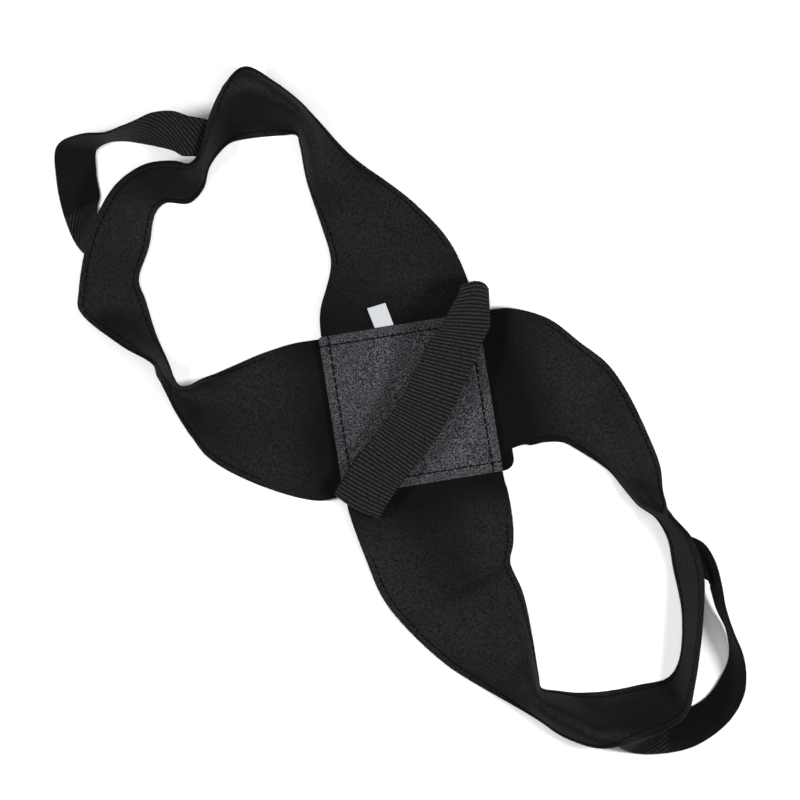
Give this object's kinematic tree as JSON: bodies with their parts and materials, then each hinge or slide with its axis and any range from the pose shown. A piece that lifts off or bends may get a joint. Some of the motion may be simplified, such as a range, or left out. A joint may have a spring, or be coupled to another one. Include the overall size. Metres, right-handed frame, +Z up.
{
  "type": "posture corrector",
  "caption": "Cloth posture corrector lying flat: two shoulder loops cross under a square back patch with an elastic strap over it and a webbing pull loop on each side.",
  "frame": {"origin": "centre of the overall box in plan, on the surface that the part lies on", "axes": "+Z up out of the surface, +X to the right and +Y up the back patch as seen from above"},
  "size_m": [0.4324, 0.43, 0.0384],
  "materials": {
    "panel_cloth": "matt black knitted cloth",
    "patch_cloth": "brushed dark grey loop cloth",
    "elastic": "matt black elastic with fine cross ribs",
    "webbing": "matt black ribbed webbing",
    "label_cloth": "plain white woven tape"
  },
  "bodies": {
    "root": {"back_patch": "patch_cloth", "backing_patch": "panel_cloth", "size_label": "label_cloth", "upper_left_loop": "panel_cloth", "lower_right_loop": "panel_cloth", "back_strap": "elastic", "pull_loop_left": "webbing", "pull_loop_right": "webbing"}
  },
  "joints": []
}
